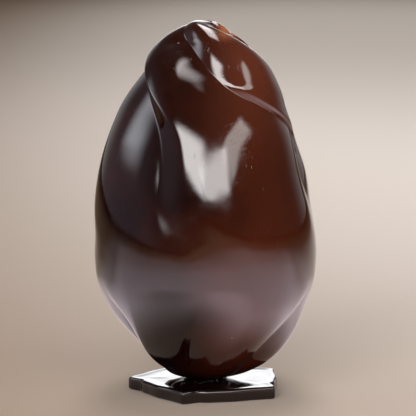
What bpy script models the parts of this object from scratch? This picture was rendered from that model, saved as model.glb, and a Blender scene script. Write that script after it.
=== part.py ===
"""Twisted chocolate egg standing on its own small five-cornered foot. Metres, +Z up.

The origin lies under the egg's axis on the foot's underside, and -Y is the front of the egg.
The egg's lobes are counted around the egg from its front, towards +X.
"""
import math

import bmesh
import bpy

# Egg
EGG_RADIUS = 0.06376
CROWN_RISE = 0.1246
BELLY_DROP = 0.0800
BELLY_FULLNESS = 2.33
CROWN_SLIM = 0.172
LOBES = 5
REST_SPOT_RADIUS = 0.012

# Swirl of the lobes
FRONT_CREASE = math.radians(-3.1)
LOW_TURN = math.radians(23.8)
WAIST_TURN = math.radians(20.5)
CROWN_TURN = math.radians(85.4)
SHOULDER_TURN = math.radians(8.7)
SECOND_LOBE_TURN = math.radians(-16.5)
THIRD_LOBE_TURN = math.radians(38.0)
WIDE_FRONT = 0.50
NARROW_SIDES = 0.051
SWIRL_SHIFT_X = -0.039
SWIRL_SHIFT_Y = 0.20
CROWN_SWAY = 0.0010
WAIST_SWAY = -0.0013

# Cross-section of the lobes
BELLY_FLANK = 0.40
CROWN_FLANK = 0.10
SECOND_LOBE_FLANK = 0.32
CROWN_DEPTH = 0.0040
WAIST_DEPTH = 0.0006
BELLY_DEPTH = 0.0135
LIP_DEPTH = 0.0048
SECOND_LOBE_DROP = 0.0026
THIRD_LOBE_DROP = 0.0037
LAST_LOBE_DROP = 0.0056

# Foot
FOOT_CORNERS = 5
FOOT_CORNER_RADIUS = 0.0472
FOOT_SIDE_RADIUS = 0.0376
FOOT_THICKNESS = 0.0072
FOOT_RIM = 0.0016
FOOT_TURN = math.radians(-19.0)
FOOT_SHIFT = 0.0022
FOOT_NOTCH = 0.0022
FOOT_SWELL = 0.0012
SEAT_GAP = 0.0003

EGG_COLUMNS = 70
EGG_ROWS = 84
FOOT_OUTLINE_POINTS = 120

WAIST_HEIGHT = FOOT_THICKNESS + SEAT_GAP + BELLY_DROP
LOBE_ANGLE = 2 * math.pi / LOBES


def smooth(low, high, value):
    """Eased step from 0 at low to 1 at high."""
    share = min(1.0, max(0.0, (value - low) / (high - low)))
    return share * share * (3 - 2 * share)


def soft_min(first, second, width):
    """Smaller of two values, rounded where they cross."""
    share = min(1.0, max(0.0, 0.5 + 0.5 * (second - first) / width))
    return second * (1 - share) + first * share - width * share * (1 - share)


def soft_max(first, second, width):
    """Larger of two values, rounded where they cross."""
    return -soft_min(-first, -second, width)


def between(low, full_from, full_to, high, value):
    """Rises from 0 at low to 1 at full_from, stays, and falls from full_to back to 0 at high."""
    return smooth(low, full_from, value) * (1 - smooth(full_to, high, value))


def crease_angle(height_share):
    """Direction of the crease left of the front lobe."""
    drop = max(0.0, (0.3 - height_share) / 0.3)
    rise = max(0.0, (height_share - 0.5) / 0.5)
    turn = LOW_TURN * drop ** 1.75 + CROWN_TURN * rise ** 3.2
    turn += WAIST_TURN * smooth(0.288, 0.557, height_share)
    turn += SHOULDER_TURN * smooth(0.68, 0.88, height_share)
    return FRONT_CREASE - turn


def flank_share(lobe, height_share):
    """Part of a lobe's width between its first crease and its ridge."""
    flank = BELLY_FLANK + (CROWN_FLANK - BELLY_FLANK) * smooth(0.25, 0.85, height_share)
    if lobe % LOBES == 1:
        flank += (SECOND_LOBE_FLANK - CROWN_FLANK) * smooth(0.74, 0.86, height_share)
    return flank


def lobe_height(lobe, share, height_share):
    """Height of one lobe, from 0 in the crease before it to 1 on its ridge and back to 0."""
    flank = flank_share(lobe, height_share)
    crown = smooth(0.35, 0.60, height_share)
    rise_power = 1 + 0.5 * crown
    to_ridge = max(0.0, 1 - share / flank)
    rise = 1 - to_ridge ** rise_power
    if to_ridge > 1:
        rise = rise_power * (1 - to_ridge)
    past_ridge = (share - flank) / (1 - flank)
    beyond = max(0.0, past_ridge - 1)
    fall_power = 1.33 + 0.87 * crown
    rounded = 1 - min(1.0, max(0.0, past_ridge)) ** fall_power - fall_power * beyond
    sweeping = 1 - smooth(-0.1, 1, past_ridge) - 0.8 * beyond
    sweep_share = smooth(0.66, 0.80, height_share)
    fall = rounded * (1 - sweep_share) + sweeping * sweep_share
    return soft_min(rise, fall, 0.34 - 0.18 * crown)


def relief(lobe, share, height_share):
    """Height of the lobes at this share of a lobe's width, with softened creases at the waist."""
    crease_width = 0.06 + 0.24 * smooth(0.22, 0.36, height_share)
    crease_width -= 0.27 * smooth(0.50, 0.68, height_share)
    height = lobe_height(lobe, share, height_share)
    height = soft_max(height, lobe_height(lobe + 1, share - 1, height_share), crease_width)
    return soft_max(height, lobe_height(lobe - 1, share + 1, height_share), crease_width)


def relief_depth(height_share):
    """How far the creases are cut in."""
    crown = CROWN_DEPTH * between(0.34, 0.60, 0.89, 1.0, height_share)
    belly = BELLY_DEPTH * (1 - smooth(0.06, 0.30, height_share))
    return crown + belly + WAIST_DEPTH


def local_depth(around, height_share):
    """Extra sink of single lobes: the front one under its lip, the second, third and last."""
    lip = between(0.4, 1, 1, 1.42, around) * between(0.74, 0.84, 0.92, 1.0, height_share)
    second = between(0.98, 1.08, 1.60, 2.40, around) * between(0.56, 0.68, 0.73, 0.80, height_share)
    third = between(1.3, 2.0, 2.6, 3.6, around) * between(0.84, 0.91, 0.96, 1.0, height_share)
    last = between(3.6, 4.1, 4.5, 5.0, around) * between(0.0, 0.04, 0.10, 0.30, height_share)
    drops = SECOND_LOBE_DROP * second + THIRD_LOBE_DROP * third + LAST_LOBE_DROP * last
    return LIP_DEPTH * lip + drops


def plain_egg(polar):
    """Radius and height over the waist of the smooth egg, by the angle down from its top."""
    rise = math.cos(polar)
    if rise > 0:
        slim = 1 - CROWN_SLIM * rise ** 2 * (1 - rise ** 2)
        return EGG_RADIUS * math.sin(polar) * slim, CROWN_RISE * rise
    radius = EGG_RADIUS * max(0.0, 1 - (-rise) ** BELLY_FULLNESS) ** (1 / BELLY_FULLNESS)
    return radius, BELLY_DROP * rise


def lobe_turn(around, height_share):
    """Shift of the lobes from an even spacing, as seen from the front crease."""
    middle = LOBE_ANGLE / 2
    past_middle = around * LOBE_ANGLE - middle
    wide = WIDE_FRONT * between(0.25, 0.50, 0.68, 0.80, height_share)
    narrow = NARROW_SIDES * between(0.05, 0.20, 0.25, 0.50, height_share)
    turn = wide * (math.sin(past_middle) + math.sin(middle))
    turn += narrow * (math.sin(2 * past_middle) + math.sin(2 * middle))
    second = between(0.68, 0.86, 0.90, 1.0, height_share) * between(0, 1, 1, 2, around)
    third = between(0.62, 0.80, 0.84, 0.98, height_share) * between(1, 2, 2, LOBES, around)
    return turn + SECOND_LOBE_TURN * second + THIRD_LOBE_TURN * third


def egg_point(around, polar):
    """Point of the egg. Around counts lobes, and polar is the angle down from the swirl's centre."""
    around %= LOBES
    lobe = math.floor(around)
    height_share = (plain_egg(polar)[1] + BELLY_DROP) / (CROWN_RISE + BELLY_DROP)
    angle = around * LOBE_ANGLE + lobe_turn(around, height_share) + crease_angle(height_share)
    shift = smooth(0.55, 1.0, height_share)
    side = math.sin(polar) * math.sin(angle) + SWIRL_SHIFT_X * shift
    back = -math.sin(polar) * math.cos(angle) + SWIRL_SHIFT_Y * shift
    level = math.hypot(side, back)
    radius, height = plain_egg(math.atan2(level, math.cos(polar)))
    sink = relief_depth(height_share) * (1 - relief(lobe, around - lobe, height_share))
    if polar > math.pi / 2:
        sink *= smooth(0.05, 1.0, radius / EGG_RADIUS)
    sink += local_depth(around, height_share)
    steepness = smooth(0.88, 1.0, height_share)
    radius -= sink * math.sqrt(1 - steepness ** 2)
    height -= sink * steepness
    if level > 0:
        side /= level
        back /= level
    sway = CROWN_SWAY * between(0.60, 0.80, 0.86, 0.96, height_share)
    sway += WAIST_SWAY * between(0.35, 0.60, 0.75, 0.90, height_share)
    return radius * side + sway, radius * back, WAIST_HEIGHT + height


def chocolate(name, colour, roughness):
    material = bpy.data.materials.new(name)
    material.use_nodes = True
    shader = material.node_tree.nodes["Principled BSDF"]
    shader.inputs["Base Color"].default_value = (*colour, 1)
    shader.inputs["Roughness"].default_value = roughness
    return material


def make_egg(collection):
    mesh = bpy.data.meshes.new("egg")
    shape = bmesh.new()
    bmesh.ops.create_uvsphere(shape, u_segments=EGG_COLUMNS, v_segments=EGG_ROWS, radius=1)
    for vertex in shape.verts:
        polar = math.acos(max(-1.0, min(1.0, vertex.co.z)))
        around = math.atan2(vertex.co.y, vertex.co.x) / LOBE_ANGLE
        vertex.co = egg_point(around, polar)
        if math.hypot(vertex.co.x, vertex.co.y) < REST_SPOT_RADIUS and polar > math.pi / 2:
            vertex.co.z = FOOT_THICKNESS + SEAT_GAP
    bmesh.ops.triangulate(shape, faces=shape.faces, quad_method="SHORT_EDGE")
    bmesh.ops.recalc_face_normals(shape, faces=shape.faces)
    shape.to_mesh(mesh)
    shape.free()
    mesh.shade_smooth()
    egg = bpy.data.objects.new("egg", mesh)
    egg.data.materials.append(chocolate("dark_chocolate", (0.055, 0.018, 0.012), 0.12))
    collection.objects.link(egg)
    return egg


def foot_radius(turn):
    """Distance of the foot's edge from its centre: a pentagon with a notch after each corner."""
    side_angle = 2 * math.pi / FOOT_CORNERS
    past_corner = turn % side_angle
    side = FOOT_SIDE_RADIUS / math.cos(past_corner - side_angle / 2)
    radius = soft_min(side, FOOT_CORNER_RADIUS * 0.985, 0.0015)
    notch = math.exp(-((past_corner - math.radians(10)) / math.radians(5)) ** 2)
    swell = math.sin(math.pi * smooth(0.15, 1.0, past_corner / side_angle)) ** 2
    return radius - FOOT_NOTCH * notch + FOOT_SWELL * swell


def make_foot(collection):
    outline = bpy.data.curves.new("foot", "CURVE")
    outline.dimensions = "2D"
    outline.fill_mode = "BOTH"
    spline = outline.splines.new("POLY")
    spline.points.add(FOOT_OUTLINE_POINTS - 1)
    spline.use_cyclic_u = True
    for index, point in enumerate(spline.points):
        turn = 2 * math.pi * index / FOOT_OUTLINE_POINTS
        radius = foot_radius(turn) - FOOT_RIM
        angle = FOOT_TURN + turn
        point.co = (radius * math.sin(angle), -radius * math.cos(angle), 0, 1)
    outline.extrude = FOOT_THICKNESS / 2 - FOOT_RIM
    outline.bevel_depth = FOOT_RIM
    outline.bevel_resolution = 2
    foot = bpy.data.objects.new("foot", outline)
    foot.location = (FOOT_SHIFT, 0, FOOT_THICKNESS / 2)
    foot.data.materials.append(chocolate("foot_chocolate", (0.045, 0.014, 0.010), 0.10))
    collection.objects.link(foot)
    return foot


def main():
    for thing in list(bpy.data.objects):
        bpy.data.objects.remove(thing, do_unlink=True)
    collection = bpy.data.collections.new("chocolate_egg")
    bpy.context.scene.collection.children.link(collection)
    make_foot(collection)
    make_egg(collection)


if __name__ == "__main__":
    main()
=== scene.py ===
"""Looks of the twisted chocolate egg on its foot: fine meshes, glossy chocolate, floor, light, camera."""
import math

import bpy
import numpy as np
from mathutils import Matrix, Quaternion, Vector


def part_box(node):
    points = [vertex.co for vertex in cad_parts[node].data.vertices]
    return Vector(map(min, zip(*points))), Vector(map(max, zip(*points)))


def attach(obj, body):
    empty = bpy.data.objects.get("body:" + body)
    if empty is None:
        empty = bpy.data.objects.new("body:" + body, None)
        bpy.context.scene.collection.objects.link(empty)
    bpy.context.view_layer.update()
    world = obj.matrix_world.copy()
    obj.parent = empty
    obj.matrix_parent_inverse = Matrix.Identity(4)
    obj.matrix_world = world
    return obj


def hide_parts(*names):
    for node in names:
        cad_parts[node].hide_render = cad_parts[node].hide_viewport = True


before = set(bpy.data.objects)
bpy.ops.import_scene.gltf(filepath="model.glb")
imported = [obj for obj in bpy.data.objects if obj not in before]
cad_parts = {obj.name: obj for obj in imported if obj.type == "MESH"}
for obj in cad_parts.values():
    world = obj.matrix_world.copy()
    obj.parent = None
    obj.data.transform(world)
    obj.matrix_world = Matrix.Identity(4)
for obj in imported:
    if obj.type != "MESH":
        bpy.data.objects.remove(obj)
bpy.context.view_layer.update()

# Egg, with the same values as the part's source
EGG_RADIUS = 0.06376
CROWN_RISE = 0.1246
BELLY_DROP = 0.0800
BELLY_FULLNESS = 2.33
CROWN_SLIM = 0.172
LOBES = 5
LOBE_ANGLE = 2 * math.pi / LOBES
REST_SPOT_RADIUS = 0.012
WAIST_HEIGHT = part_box("egg")[0][2] + BELLY_DROP

# Swirl of the lobes
FRONT_CREASE = math.radians(-3.1)
LOW_TURN = math.radians(23.8)
WAIST_TURN = math.radians(20.5)
CROWN_TURN = math.radians(85.4)
SHOULDER_TURN = math.radians(8.7)
SECOND_LOBE_TURN = math.radians(-16.5)
THIRD_LOBE_TURN = math.radians(38.0)
WIDE_FRONT = 0.50
NARROW_SIDES = 0.051
SWIRL_SHIFT_X = -0.039
SWIRL_SHIFT_Y = 0.20
CROWN_SWAY = 0.0010
WAIST_SWAY = -0.0013

# Cross-section of the lobes
BELLY_FLANK = 0.40
CROWN_FLANK = 0.10
SECOND_LOBE_FLANK = 0.32
CROWN_DEPTH = 0.0040
WAIST_DEPTH = 0.0006
BELLY_DEPTH = 0.0135
LIP_DEPTH = 0.0048
SECOND_LOBE_DROP = 0.0026
THIRD_LOBE_DROP = 0.0037
LAST_LOBE_DROP = 0.0056

# Foot
FOOT_CORNERS = 5
FOOT_CORNER_RADIUS = 0.0472
FOOT_SIDE_RADIUS = 0.0376
FOOT_THICKNESS = 0.0072
FOOT_RIM = 0.0016
FOOT_TURN = math.radians(-19.0)
FOOT_SHIFT = 0.0022
FOOT_NOTCH = 0.0022
FOOT_SWELL = 0.0012
FOOT_DIP = 0.00025

# Grids of the fine meshes
EGG_COLUMNS = 360
EGG_ROWS = 270
FOOT_COLUMNS = 480
FOOT_RIM_ROWS = 8
FOOT_TOP_ROWS = 24
FOOT_UNDER_ROWS = 6

# Chocolate: dark and light tones with painted light on the right side, a painted backlight glow standing
# in for light through the thin crown, and gloss as roughness
EGG_DARK = (0.004, 0.0004, 0.0002)
EGG_LIGHT = (0.032, 0.006, 0.002)
# Painted backlight glow colours for the upper right and the tip.
EGG_PAINTED_GLOW = (0.075, 0.018, 0.008)
TIP_PAINTED_GLOW = (0.26, 0.085, 0.035)
FOOT_DARK = (0.003, 0.0008, 0.0006)
FOOT_LIGHT = (0.006, 0.0015, 0.0012)
SPECK_TONE = (0.30, 0.20, 0.16)
EGG_GLOSS = 0.07
FOOT_GLOSS = 0.03
SMUDGE = 0.09
CHOCOLATE_IOR = 1.6
BUMP_HEIGHT = 0.0004
CRACKLE_PLACE = (0.020, -0.045, 0.150)

# Floor with a painted pool of light and painted shade around it, and the glow lamp on it
FLOOR_SIZE = 24
FLOOR_PALE = (0.65, 0.612, 0.564)
# Painted shade of the floor away from its pool of light.
FLOOR_PAINTED_SHADE = (0.18, 0.123, 0.08)
FLOOR_POOL_SHIFT = (-0.30, -0.65, 0)
FLOOR_POOL_SCALE = (1.11, 0.25, 0)
FLOOR_ROUGHNESS = 0.6
GLOW_SIZE = 2.4
GLOW_HEIGHT = 0.003
GLOW_COLOUR = (0.97, 0.85, 1)
GLOW_BRIGHTNESS = 1.35
GLOW_SHADE_PLACE = (-0.07, -0.105, GLOW_HEIGHT)
GLOW_POOL_PLACE = (0.045, -0.13, GLOW_HEIGHT)


def smooth(low, high, value):
    """Eased step from 0 at low to 1 at high."""
    share = np.clip((value - low) / (high - low), 0, 1)
    return share * share * (3 - 2 * share)


def soft_min(first, second, width):
    """Smaller of two values, rounded where they cross."""
    share = np.clip(0.5 + 0.5 * (second - first) / width, 0, 1)
    return second * (1 - share) + first * share - width * share * (1 - share)


def soft_max(first, second, width):
    """Larger of two values, rounded where they cross."""
    return -soft_min(-first, -second, width)


def between(low, full_from, full_to, high, value):
    """Rises from 0 at low to 1 at full_from, stays, and falls from full_to back to 0 at high."""
    return smooth(low, full_from, value) * (1 - smooth(full_to, high, value))


def crease_angle(height_share):
    """Direction of the crease left of the front lobe."""
    drop = np.maximum(0, (0.3 - height_share) / 0.3)
    rise = np.maximum(0, (height_share - 0.5) / 0.5)
    turn = LOW_TURN * drop ** 1.75 + CROWN_TURN * rise ** 3.2
    turn += WAIST_TURN * smooth(0.288, 0.557, height_share)
    turn += SHOULDER_TURN * smooth(0.68, 0.88, height_share)
    return FRONT_CREASE - turn


def flank_share(lobe, height_share):
    """Part of a lobe's width between its first crease and its ridge."""
    flank = BELLY_FLANK + (CROWN_FLANK - BELLY_FLANK) * smooth(0.25, 0.85, height_share)
    extra = (SECOND_LOBE_FLANK - CROWN_FLANK) * smooth(0.74, 0.86, height_share)
    return flank + np.where(lobe % LOBES == 1, extra, 0)


def lobe_height(lobe, share, height_share):
    """Height of one lobe, from 0 in the crease before it to 1 on its ridge and back to 0."""
    flank = flank_share(lobe, height_share)
    crown = smooth(0.35, 0.60, height_share)
    rise_power = 1 + 0.5 * crown
    to_ridge = np.maximum(0, 1 - share / flank)
    rise = np.where(to_ridge > 1, rise_power * (1 - to_ridge), 1 - to_ridge ** rise_power)
    past_ridge = (share - flank) / (1 - flank)
    beyond = np.maximum(0, past_ridge - 1)
    fall_power = 1.33 + 0.87 * crown
    rounded = 1 - np.clip(past_ridge, 0, 1) ** fall_power - fall_power * beyond
    sweeping = 1 - smooth(-0.1, 1, past_ridge) - 0.8 * beyond
    sweep_share = smooth(0.66, 0.80, height_share)
    fall = rounded * (1 - sweep_share) + sweeping * sweep_share
    return soft_min(rise, fall, 0.34 - 0.18 * crown)


def relief(lobe, share, height_share):
    """Height of the lobes at this share of a lobe's width, with softened creases at the waist."""
    crease_width = 0.06 + 0.24 * smooth(0.22, 0.36, height_share)
    crease_width -= 0.27 * smooth(0.50, 0.68, height_share)
    height = lobe_height(lobe, share, height_share)
    height = soft_max(height, lobe_height(lobe + 1, share - 1, height_share), crease_width)
    return soft_max(height, lobe_height(lobe - 1, share + 1, height_share), crease_width)


def relief_depth(height_share):
    """How far the creases are cut in."""
    crown = CROWN_DEPTH * between(0.34, 0.60, 0.89, 1.0, height_share)
    belly = BELLY_DEPTH * (1 - smooth(0.06, 0.30, height_share))
    return crown + belly + WAIST_DEPTH


def local_depth(around, height_share):
    """Extra sink of single lobes: the front one under its lip, the second, third and last."""
    lip = between(0.4, 1, 1, 1.42, around) * between(0.74, 0.84, 0.92, 1.0, height_share)
    second = between(0.98, 1.08, 1.60, 2.40, around) * between(0.56, 0.68, 0.73, 0.80, height_share)
    third = between(1.3, 2.0, 2.6, 3.6, around) * between(0.84, 0.91, 0.96, 1.0, height_share)
    last = between(3.6, 4.1, 4.5, 5.0, around) * between(0.0, 0.04, 0.10, 0.30, height_share)
    drops = SECOND_LOBE_DROP * second + THIRD_LOBE_DROP * third + LAST_LOBE_DROP * last
    return LIP_DEPTH * lip + drops


def plain_egg(polar):
    """Radius and height over the waist of the smooth egg, by the angle down from its top."""
    above = np.clip(np.cos(polar), 0, 1)
    below = np.clip(-np.cos(polar), 0, 1)
    crown = EGG_RADIUS * np.sin(polar) * (1 - CROWN_SLIM * above ** 2 * (1 - above ** 2))
    belly = EGG_RADIUS * (1 - below ** BELLY_FULLNESS) ** (1 / BELLY_FULLNESS)
    return np.where(above > 0, crown, belly), CROWN_RISE * above - BELLY_DROP * below


def lobe_turn(around, height_share):
    """Shift of the lobes from an even spacing, as seen from the front crease."""
    middle = LOBE_ANGLE / 2
    past_middle = around * LOBE_ANGLE - middle
    wide = WIDE_FRONT * between(0.25, 0.50, 0.68, 0.80, height_share)
    narrow = NARROW_SIDES * between(0.05, 0.20, 0.25, 0.50, height_share)
    turn = wide * (np.sin(past_middle) + math.sin(middle))
    turn += narrow * (np.sin(2 * past_middle) + math.sin(2 * middle))
    second = between(0.68, 0.86, 0.90, 1.0, height_share) * between(0, 1, 1, 2, around)
    third = between(0.62, 0.80, 0.84, 0.98, height_share) * between(1, 2, 2, LOBES, around)
    return turn + SECOND_LOBE_TURN * second + THIRD_LOBE_TURN * third


def egg_points(around, polar):
    """Points of the egg. Around counts lobes, and polar is the angle down from the swirl's centre."""
    lobe = np.floor(around)
    height_share = (plain_egg(polar)[1] + BELLY_DROP) / (CROWN_RISE + BELLY_DROP)
    angle = around * LOBE_ANGLE + lobe_turn(around, height_share) + crease_angle(height_share)
    shift = smooth(0.55, 1.0, height_share)
    side = np.sin(polar) * np.sin(angle) + SWIRL_SHIFT_X * shift
    back = -np.sin(polar) * np.cos(angle) + SWIRL_SHIFT_Y * shift
    level = np.maximum(np.hypot(side, back), 1e-9)
    radius, height = plain_egg(np.arctan2(level, np.cos(polar)))
    sink = relief_depth(height_share) * (1 - relief(lobe, around - lobe, height_share))
    sink *= np.where(polar > math.pi / 2, smooth(0.05, 1.0, radius / EGG_RADIUS), 1)
    sink += local_depth(around, height_share)
    steepness = smooth(0.88, 1.0, height_share)
    radius = radius - sink * np.sqrt(1 - steepness ** 2)
    height = height - sink * steepness
    sway = CROWN_SWAY * between(0.60, 0.80, 0.86, 0.96, height_share)
    sway += WAIST_SWAY * between(0.35, 0.60, 0.75, 0.90, height_share)
    return np.stack([radius * side / level + sway, radius * back / level, WAIST_HEIGHT + height], -1)


def split_cells(points, rows, columns):
    """Triangles of a grid that closes on itself sideways, each cell cut along its short diagonal."""
    row, column = np.meshgrid(np.arange(rows - 1), np.arange(columns), indexing="ij")
    corner = (row * columns + column).ravel()
    right = (row * columns + (column + 1) % columns).ravel()
    below = corner + columns
    below_right = right + columns
    falling = np.linalg.norm(points[corner] - points[below_right], axis=1)
    rising = np.linalg.norm(points[right] - points[below], axis=1)
    cut = (falling < rising)[:, None]
    falling_first = np.stack([corner, below, below_right], 1)
    falling_second = np.stack([corner, below_right, right], 1)
    rising_first = np.stack([corner, below, right], 1)
    rising_second = np.stack([right, below, below_right], 1)
    first = np.where(cut, falling_first, rising_first)
    second = np.where(cut, falling_second, rising_second)
    return np.concatenate([first, second])


def closed_mesh(name, grid, node_name):
    """Object from a grid of points with a pole at each end, fitted into the box of its CAD node."""
    rows, columns = grid.shape[:2]
    points = grid.reshape(-1, 3)
    last = (rows - 1) * columns
    ring = np.arange(columns)
    beside = (ring + 1) % columns
    top = np.full(columns, len(points))
    bottom = top + 1
    triangles = np.concatenate([
        split_cells(points, rows, columns),
        np.stack([top, ring, beside], 1),
        np.stack([bottom, last + beside, last + ring], 1),
    ])
    points = np.concatenate([points, [points[:columns].mean(0)], [points[last:].mean(0)]])
    node_low, node_high = (np.array(corner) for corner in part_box(node_name))
    low = points.min(0)
    scale = (node_high - node_low) / (points.max(0) - low)
    points = node_low + (points - low) * scale
    mesh = bpy.data.meshes.new(name)
    mesh.from_pydata(points.tolist(), [], triangles.tolist())
    mesh.update()
    mesh.shade_smooth()
    piece = bpy.data.objects.new(name, mesh)
    bpy.context.scene.collection.objects.link(piece)
    return piece


def make_egg():
    """Fine mesh of the egg, flat on the small spot it rests on."""
    around = np.linspace(0, LOBES, EGG_COLUMNS, endpoint=False)
    polar = np.linspace(0, math.pi, EGG_ROWS + 1)[1:-1]
    around, polar = np.meshgrid(around, polar)
    grid = egg_points(around, polar)
    resting = (np.hypot(grid[..., 0], grid[..., 1]) < REST_SPOT_RADIUS) & (polar > math.pi / 2)
    grid[resting, 2] = WAIST_HEIGHT - BELLY_DROP
    return closed_mesh("egg_shell", grid, "egg")


def foot_radius(turn):
    """Distance of the foot's edge from its centre: a pentagon with a notch after each corner."""
    side_angle = 2 * math.pi / FOOT_CORNERS
    past_corner = turn % side_angle
    side = FOOT_SIDE_RADIUS / np.cos(past_corner - side_angle / 2)
    radius = soft_min(side, FOOT_CORNER_RADIUS * 0.985, 0.0015)
    notch = np.exp(-((past_corner - math.radians(10)) / math.radians(5)) ** 2)
    swell = np.sin(math.pi * smooth(0.15, 1.0, past_corner / side_angle)) ** 2
    return radius - FOOT_NOTCH * notch + FOOT_SWELL * swell


def make_foot():
    """Poured slab with a rounded rim, a soft raised edge and a slightly uneven outline."""
    turn = np.linspace(0, 2 * math.pi, FOOT_COLUMNS, endpoint=False)
    edge = foot_radius(turn)
    bend = np.linspace(0, math.pi / 2, FOOT_RIM_ROWS)
    rings = []
    for share in np.linspace(0.02, 1, FOOT_TOP_ROWS, endpoint=False):
        dip = FOOT_DIP * smooth(0.55, 0.85, share) * (1 - smooth(0.88, 1.0, share))
        rings.append(((edge - FOOT_RIM) * share, FOOT_THICKNESS - dip + 0 * turn))
    for angle in bend:
        inset = FOOT_RIM * (1 - math.sin(angle))
        drop = FOOT_RIM * (1 - math.cos(angle))
        rings.append((edge - inset, FOOT_THICKNESS - drop + 0 * turn))
    for angle in bend[::-1]:
        inset = FOOT_RIM * (1 - math.sin(angle))
        lift = FOOT_RIM * (1 - math.cos(angle))
        rings.append((edge - inset, lift + 0 * turn))
    for share in np.linspace(1, 0.02, FOOT_UNDER_ROWS)[1:]:
        rings.append(((edge - FOOT_RIM) * share, 0 * turn))
    radius = np.array([ring[0] for ring in rings])
    height = np.array([ring[1] for ring in rings])
    angle = FOOT_TURN + turn
    grid = np.stack([FOOT_SHIFT + radius * np.sin(angle), -radius * np.cos(angle), height], -1)
    return closed_mesh("foot_slab", grid, "foot")


def add(tree, kind, values=None, **settings):
    """New node with its settings, and values for its inputs by name or number."""
    made = tree.nodes.new(kind)
    for name, value in settings.items():
        setattr(made, name, value)
    for name, value in (values or {}).items():
        if isinstance(value, bpy.types.NodeSocket):
            tree.links.new(value, made.inputs[name])
        else:
            made.inputs[name].default_value = value
    return made


def noise(tree, where, scale, detail):
    """Soft random value from 0 to 1."""
    values = {"Vector": where, "Scale": scale, "Detail": detail}
    return add(tree, "ShaderNodeTexNoise", values).outputs["Fac"]


def stretch(tree, value, low, high, new_low, new_high):
    """Value between low and high, spread from new_low to new_high."""
    values = {"Value": value, "From Min": low, "From Max": high, "To Min": new_low, "To Max": new_high}
    return add(tree, "ShaderNodeMapRange", values, interpolation_type="SMOOTHSTEP").outputs["Result"]


def maths(tree, operation, first, second=0):
    """Result of a Math node."""
    return add(tree, "ShaderNodeMath", {0: first, 1: second}, operation=operation).outputs[0]


def times(tree, first, second):
    return maths(tree, "MULTIPLY", first, second)


def how_far(tree, place, centre):
    """Distance of each point of place from a centre."""
    return add(tree, "ShaderNodeVectorMath", {0: place, 1: centre}, operation="DISTANCE").outputs["Value"]


def axes(tree, vector):
    """X, Y and Z of a vector, by name."""
    return add(tree, "ShaderNodeSeparateXYZ", {"Vector": vector}).outputs


def blend(tree, factor, first, second):
    """Colour between two colours."""
    mixed = add(tree, "ShaderNodeMix", data_type="RGBA")
    for index, value in ((0, factor), (6, first), (7, second)):
        if isinstance(value, bpy.types.NodeSocket):
            tree.links.new(value, mixed.inputs[index])
        else:
            mixed.inputs[index].default_value = value
    return mixed.outputs[2]


def new_material(name):
    """Material with its node tree and shader."""
    material = bpy.data.materials.new(name)
    material.use_nodes = True
    return material, material.node_tree, material.node_tree.nodes["Principled BSDF"]


def painted_crown_glow(tree, place, tone):
    """Painted backlight glow standing in for light through the thin chocolate: warmer tone at the upper
    right, and most at the tip.
    """
    along = axes(tree, place)
    upper = stretch(tree, along["Z"], 0.13, 0.20, 0, 1)
    right = stretch(tree, along["X"], -0.005, 0.032, 0.05, 1)
    # Painted backlight glow: tone turned warmer towards the upper right.
    tone = blend(tree, times(tree, upper, right), tone, (*EGG_PAINTED_GLOW, 1))
    top = stretch(tree, along["Z"], 0.200, 0.208, 0, 1)
    beside = stretch(tree, along["X"], 0.004, 0.012, 0, 1)
    # Painted glow, strongest at the tip.
    return blend(tree, times(tree, top, beside), tone, (*TIP_PAINTED_GLOW, 1))


def fine_scratches(tree, place):
    """Short slanting streaks, in patches."""
    slant = {"Vector": place, "Scale": (900, 900, 45), "Rotation": (0.5, 0.35, 0.2)}
    streaks = add(tree, "ShaderNodeMapping", slant).outputs["Vector"]
    lines = stretch(tree, noise(tree, streaks, 1, 1), 0.70, 0.76, 0, 1)
    return times(tree, lines, stretch(tree, noise(tree, place, 26, 1), 0.50, 0.62, 0, 1))


def crackle(tree, place):
    """Faint wandering cracks round one place."""
    ripple = maths(tree, "ABSOLUTE", maths(tree, "SUBTRACT", noise(tree, place, 260, 1), 0.5))
    cracks = stretch(tree, ripple, 0, 0.022, 1, 0)
    return times(tree, cracks, stretch(tree, how_far(tree, place, CRACKLE_PLACE), 0.004, 0.019, 0.3, 0))


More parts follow.
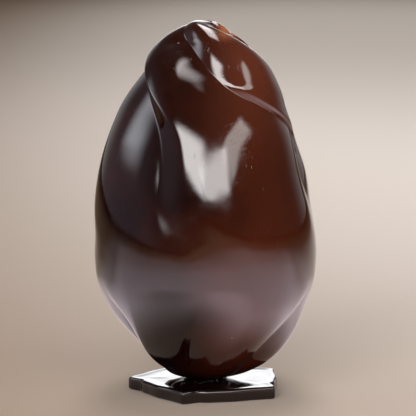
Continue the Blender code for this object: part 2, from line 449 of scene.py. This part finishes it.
def chocolate(name, dark, light, gloss, crown=False):
    """Glossy dark chocolate: cloudy tone with painted light, lighter towards the right side, smudged
    gloss, faint waves, scratches, pits and specks.
    """
    material, tree, shader = new_material(name)
    place = add(tree, "ShaderNodeTexCoord").outputs["Object"]
    clouds = stretch(tree, noise(tree, place, 22, 3), 0.3, 0.7, 0, 0.5)
    # Painted light: tone lighter towards the right side, darker on the left.
    painted_side_light = stretch(tree, axes(tree, place)["X"], -0.03, 0.045, -0.25, 0.75)
    tone = blend(tree, maths(tree, "ADD", painted_side_light, clouds), (*dark, 1), (*light, 1))
    if crown:
        # Painted backlight glow on the crown.
        tone = painted_crown_glow(tree, place, tone)
    cells = add(tree, "ShaderNodeTexVoronoi", {"Vector": place, "Scale": 70}).outputs["Distance"]
    few = stretch(tree, noise(tree, place, 30, 1), 0.60, 0.66, 0, 1)
    specks = times(tree, stretch(tree, cells, 0.03, 0.06, 1, 0), few)
    tone = blend(tree, times(tree, specks, 0.5), tone, (*SPECK_TONE, 1))
    tree.links.new(tone, shader.inputs["Base Color"])

    scratches = fine_scratches(tree, place)
    if crown:
        scratches = maths(tree, "MAXIMUM", scratches, crackle(tree, place))
    smudges = stretch(tree, noise(tree, place, 60, 5), 0.42, 0.75, gloss, gloss + SMUDGE)
    rough = maths(tree, "ADD", smudges, times(tree, scratches, 0.12))
    tree.links.new(rough, shader.inputs["Roughness"])

    grain = times(tree, noise(tree, place, 420, 2), 0.02)
    height = maths(tree, "ADD", noise(tree, place, 28, 1), grain)
    height = maths(tree, "ADD", height, times(tree, specks, 0.25))
    height = maths(tree, "SUBTRACT", height, times(tree, scratches, 0.12))
    bump = add(tree, "ShaderNodeBump", {"Height": height, "Strength": 1, "Distance": BUMP_HEIGHT})
    tree.links.new(bump.outputs["Normal"], shader.inputs["Normal"])
    shader.inputs["IOR"].default_value = CHOCOLATE_IOR
    return material


# Camera, at the photograph's angle: long lens, a little above the egg
PHOTO_WIDTH = 416
METRES_PER_PIXEL = 0.200 / 351.5
CAMERA_PLACE = Vector((0.0, -1.5, 0.305))
CAMERA_AIM = Vector((0.0014, 0.0, 0.105))
SCENE_CENTRE = Vector((0, 0, 0.1))


def make_camera():
    """Camera that sees the egg at the photograph's size, with plain display of colours."""
    lens = bpy.data.cameras.new("camera")
    camera = bpy.data.objects.new("camera", lens)
    bpy.context.scene.collection.objects.link(camera)
    view = CAMERA_AIM - CAMERA_PLACE
    camera.location = CAMERA_PLACE
    camera.rotation_euler = view.to_track_quat("-Z", "Y").to_euler()
    lens.sensor_width = 36
    lens.lens = lens.sensor_width * view.length / (METRES_PER_PIXEL * PHOTO_WIDTH)
    bpy.context.scene.camera = camera
    bpy.context.scene.view_settings.view_transform = "Standard"


def make_lamp(name, size, colour, brightness):
    """Rectangular light as bright as a white card lit at the given brightness, and its nodes."""
    light = bpy.data.lights.new(name, "AREA")
    light.shape = "RECTANGLE"
    light.size, light.size_y = size
    light.color = colour
    light.energy = brightness * math.pi * size[0] * size[1]
    light.use_nodes = True
    lamp = bpy.data.objects.new(name, light)
    lamp.visible_camera = False
    bpy.context.scene.collection.objects.link(lamp)
    return lamp, light.node_tree


def make_softbox(name, azimuth, elevation, distance, size, colour, brightness, roll=0, soft=0.15,
                 reflected=True):
    """Light aimed at the egg, fading at its edges. Azimuth 0 is in front, and grows to the right."""
    lamp, tree = make_lamp(name, size, colour, brightness)
    across = axes(tree, add(tree, "ShaderNodeNewGeometry").outputs["Parametric"])
    fade = 1
    for side in ("X", "Y"):
        off_centre = maths(tree, "ABSOLUTE", maths(tree, "SUBTRACT", across[side], 0.5))
        fade = times(tree, fade, stretch(tree, off_centre, 0.5 - 0.5 * soft, 0.5, 1, 0))
    tree.links.new(fade, tree.nodes["Emission"].inputs["Strength"])
    turn = math.radians(azimuth)
    lift = math.radians(elevation)
    offset = Vector((math.sin(turn) * math.cos(lift), -math.cos(turn) * math.cos(lift), math.sin(lift)))
    lamp.location = SCENE_CENTRE + offset * distance
    lamp.rotation_mode = "QUATERNION"
    aim = (-offset).to_track_quat("-Z", "Y")
    lamp.rotation_quaternion = aim @ Quaternion((0, 0, 1), math.radians(roll))
    lamp.visible_glossy = reflected


def make_table_glow():
    """Glow lying on the table in front of the foot and beside it, which the egg's belly mirrors."""
    lamp, tree = make_lamp("table_glow", (GLOW_SIZE, GLOW_SIZE), GLOW_COLOUR, GLOW_BRIGHTNESS)
    lamp.location = (0, -0.005, GLOW_HEIGHT)
    lamp.rotation_euler = (math.pi, 0, 0)
    place = add(tree, "ShaderNodeNewGeometry").outputs["Position"]
    off_foot = how_far(tree, place, (0, 0, GLOW_HEIGHT))
    back = axes(tree, place)["Y"]
    shares = (
        stretch(tree, off_foot, 0.050, 0.110, 0, 1),
        stretch(tree, off_foot, 0.16, 0.60, 1, 0.45),
        stretch(tree, off_foot, 0.60, 1.15, 1, 0),
        stretch(tree, back, 0.0, 0.09, 1, 0.4),
        stretch(tree, back, 0.09, 0.35, 1, 0),
        stretch(tree, how_far(tree, place, GLOW_SHADE_PLACE), 0.01, 0.09, 0.55, 1),
        stretch(tree, how_far(tree, place, GLOW_POOL_PLACE), 0.01, 0.08, 1.5, 1),
    )
    glow = shares[0]
    for share in shares[1:]:
        glow = times(tree, glow, share)
    tree.links.new(glow, tree.nodes["Emission"].inputs["Strength"])


def make_floor():
    """Pale matte floor with a painted pool of light behind the egg, darkening with painted shade away
    from it.
    """
    bpy.ops.mesh.primitive_plane_add(size=FLOOR_SIZE, location=(0, 0, 0))
    floor = bpy.context.object
    floor.name = "floor"
    material, tree, shader = new_material("floor")
    place = add(tree, "ShaderNodeTexCoord").outputs["Object"]
    pool = {"Vector": place, "Location": FLOOR_POOL_SHIFT, "Scale": FLOOR_POOL_SCALE}
    spread = add(tree, "ShaderNodeMapping", pool).outputs["Vector"]
    away = add(tree, "ShaderNodeVectorMath", {0: spread}, operation="LENGTH").outputs["Value"]
    # Painted pool of light: pale near the pool, fading into painted shade further away.
    tone = blend(tree, stretch(tree, away, 0.3, 0.96, 0, 1), (*FLOOR_PALE, 1), (*FLOOR_PAINTED_SHADE, 1))
    tree.links.new(tone, shader.inputs["Base Color"])
    shader.inputs["Roughness"].default_value = FLOOR_ROUGHNESS
    shader.inputs["Specular IOR Level"].default_value = 0
    floor.data.materials.append(material)


def make_world():
    """Dim room, brighter low down behind the egg and a little brighter on its left."""
    world = bpy.data.worlds.new("studio")
    bpy.context.scene.world = world
    world.use_nodes = True
    tree = world.node_tree
    direction = axes(tree, add(tree, "ShaderNodeTexCoord").outputs["Generated"])
    behind = stretch(tree, direction["Y"], 0.45, 0.95, 0, 1)
    aside = maths(tree, "ABSOLUTE", direction["X"])
    middle = times(tree, behind, stretch(tree, aside, 0.06, 0.14, 1, 0.12))
    low = stretch(tree, direction["Z"], 0.18, 0.40, 1, 0.1)
    tone = blend(tree, times(tree, middle, low), (0.07, 0.05, 0.045, 1), (2.7, 2.7, 2.75, 1))
    left = stretch(tree, direction["X"], -0.95, -0.55, 1, 0)
    tone = blend(tree, left, tone, (0.26, 0.22, 0.26, 1))
    tree.links.new(tone, tree.nodes["Background"].inputs["Color"])


make_camera()

egg = make_egg()
egg.data.materials.append(chocolate("dark_chocolate_gloss", EGG_DARK, EGG_LIGHT, EGG_GLOSS, crown=True))
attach(egg, "root")
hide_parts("egg")

foot = make_foot()
foot.data.materials.append(chocolate("foot_chocolate_gloss", FOOT_DARK, FOOT_LIGHT, FOOT_GLOSS))
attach(foot, "root")
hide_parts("foot")

make_floor()
make_world()
make_table_glow()
make_softbox("left_strip", -20, 22.5, 2.2, (1.85, 1.1), (1, 0.97, 0.96), 11, roll=-8, soft=0.45)
make_softbox("low_strip", 13, 18.5, 2.2, (1.5, 0.66), (1, 0.97, 0.96), 9, roll=8, soft=0.4)
make_softbox("right_strip", 49, 32, 2.2, (2.1, 0.68), (1, 0.97, 0.94), 4.5, roll=25, soft=0.4)
make_softbox("side_window", -92, 27, 2.0, (2.0, 1.0), (0.88, 0.93, 1), 3.6, soft=0.9)
make_softbox("overhead_strip", 176, 67, 2.15, (0.95, 2.7), (1, 0.95, 0.94), 8, roll=4, soft=0.5)
make_softbox("table_fill", 0, 50, 1.2, (1.2, 0.8), (1, 0.95, 0.97), 2, reflected=False)
make_softbox("back_fill", 175, 25, 4.5, (3.0, 1.5), (1, 0.97, 0.93), 3, reflected=False)
